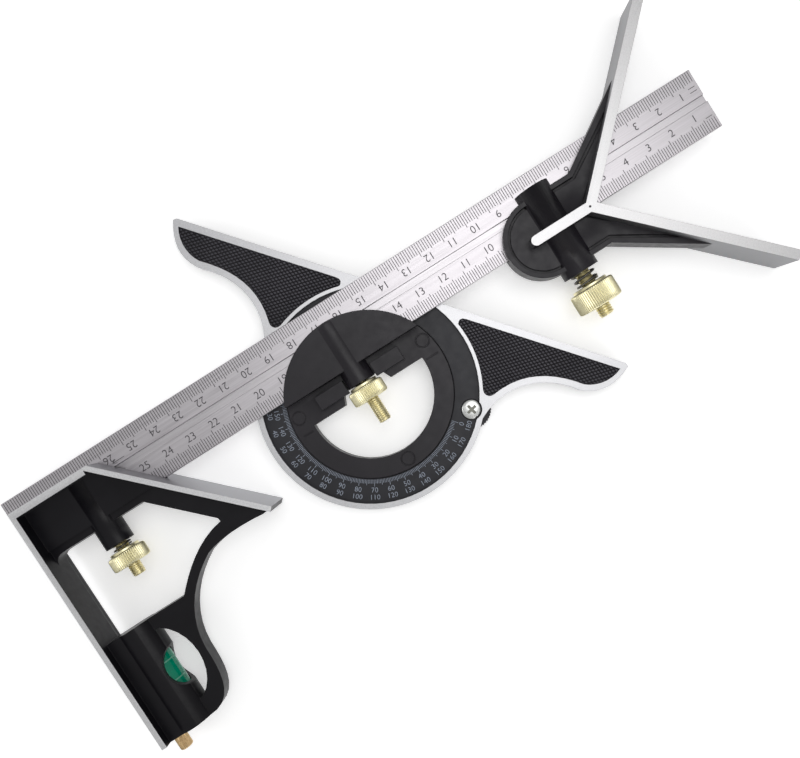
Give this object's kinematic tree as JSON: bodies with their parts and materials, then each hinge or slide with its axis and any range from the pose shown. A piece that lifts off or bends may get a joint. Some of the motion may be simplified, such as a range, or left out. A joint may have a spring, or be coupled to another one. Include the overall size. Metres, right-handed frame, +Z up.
{
  "type": "combination square set",
  "caption": "Grooved steel rule with three sliding clamped heads: a square head with level and scriber, a swivelling protractor head and a centre-finding vee head.",
  "frame": {"origin": "middle of the underside of the bounding box, with the set lying on its back", "axes": "+X along the rule towards its zero end, +Y across the rule away from the clamp nuts, +Z up out of the rule's scaled face"},
  "size_m": [0.3, 0.168, 0.021],
  "materials": {
    "black_enamel": "satin black enamel on the castings, ground bright on the reference faces and rims",
    "rule_steel": "satin chrome, brushed along the rule, etched scales",
    "needle_steel": "drawn and pointed",
    "spring_steel": "drawn wire",
    "zinc_plate": "bright zinc plate",
    "brass": "turned and knurled",
    "vial_acrylic": "clear acrylic",
    "vial_spirit": "green spirit",
    "black_plastic": "moulded"
  },
  "bodies": {
    "rule": {"rule": "rule_steel"},
    "square_head": {"square_head": "black_enamel", "square_clamp_spring": "spring_steel", "vial_tube": "vial_acrylic", "vial_stopper": "black_plastic", "vial_spirit": "vial_spirit", "vial_end_plug": "black_plastic"},
    "square_nut": {"square_clamp_nut": "brass"},
    "square_bolt": {"square_clamp_bolt": "brass"},
    "scriber": {"scriber_knob": "brass", "scriber_needle": "needle_steel"},
    "turret": {"turret": "black_enamel", "turret_clamp_spring": "spring_steel"},
    "turret_nut": {"turret_clamp_nut": "brass"},
    "turret_bolt": {"turret_clamp_bolt": "brass"},
    "protractor_body": {"protractor_body": "black_enamel", "lock_screw_left": "zinc_plate", "lock_screw_right": "zinc_plate"},
    "lock_nut_left": {"lock_nut_left": "black_enamel"},
    "lock_nut_right": {"lock_nut_right": "black_enamel"},
    "center_head": {"center_head": "black_enamel", "center_clamp_spring": "spring_steel"},
    "center_nut": {"center_clamp_nut": "brass"},
    "center_bolt": {"center_clamp_bolt": "brass"}
  },
  "joints": [
    {"name": "square_slide", "type": "slide", "parent": "rule", "child": "square_head", "axis": [1, 0, 0], "range_m": [-0.025, 0.003]},
    {"name": "turret_slide", "type": "slide", "parent": "rule", "child": "turret", "axis": [1, 0, 0], "range_m": [-0.003, 0.006]},
    {"name": "center_slide", "type": "slide", "parent": "rule", "child": "center_head", "axis": [1, 0, 0], "range_m": [-0.004, 0.06]},
    {"name": "protractor_swivel", "type": "hinge", "parent": "turret", "child": "protractor_body", "pos_m": [-0.0135, -0.00941, 0.0065], "axis": [0, 0, 1], "range_deg": [-60, 3]},
    {"name": "scriber_pull", "type": "slide", "parent": "square_head", "child": "scriber", "axis": [0, -1, 0], "range_m": [0, 0.045]},
    {"name": "lock_left_turn", "type": "hinge", "parent": "protractor_body", "child": "lock_nut_left", "pos_m": [-0.03291, 0.02352, 0.0015], "axis": [0, 0, 1], "range_deg": [0, 90]},
    {"name": "lock_right_turn", "type": "hinge", "parent": "protractor_body", "child": "lock_nut_right", "pos_m": [0.01556, -0.03424, 0.0015], "axis": [0, 0, 1], "range_deg": [0, 90]},
    {"name": "square_nut_turn", "type": "hinge", "parent": "square_head", "child": "square_nut", "pos_m": [-0.1211, -0.01181, 0.0105], "axis": [0, -1, 0], "range_deg": [0, 541]},
    {"name": "square_bolt_travel", "type": "slide", "parent": "square_head", "child": "square_bolt", "axis": [0, 1, 0], "range_m": [0, 0.0012]},
    {"name": "turret_nut_turn", "type": "hinge", "parent": "turret", "child": "turret_nut", "pos_m": [-0.0135, -0.00781, 0.0105], "axis": [0, -1, 0], "range_deg": [0, 541]},
    {"name": "turret_bolt_travel", "type": "slide", "parent": "turret", "child": "turret_bolt", "axis": [0, 1, 0], "range_m": [0, 0.0012]},
    {"name": "center_nut_turn", "type": "hinge", "parent": "center_head", "child": "center_nut", "pos_m": [0.0773, -0.02281, 0.0105], "axis": [0, -1, 0], "range_deg": [0, 541]},
    {"name": "center_bolt_travel", "type": "slide", "parent": "center_head", "child": "center_bolt", "axis": [0, 1, 0], "range_m": [0, 0.0015]}
  ],
  "couplings": [
    {"joint": "square_nut_turn", "follows": "square_bolt_travel", "rad_per_m": 7854},
    {"joint": "turret_nut_turn", "follows": "turret_bolt_travel", "rad_per_m": 7854},
    {"joint": "center_nut_turn", "follows": "center_bolt_travel", "rad_per_m": 6283.2}
  ]
}
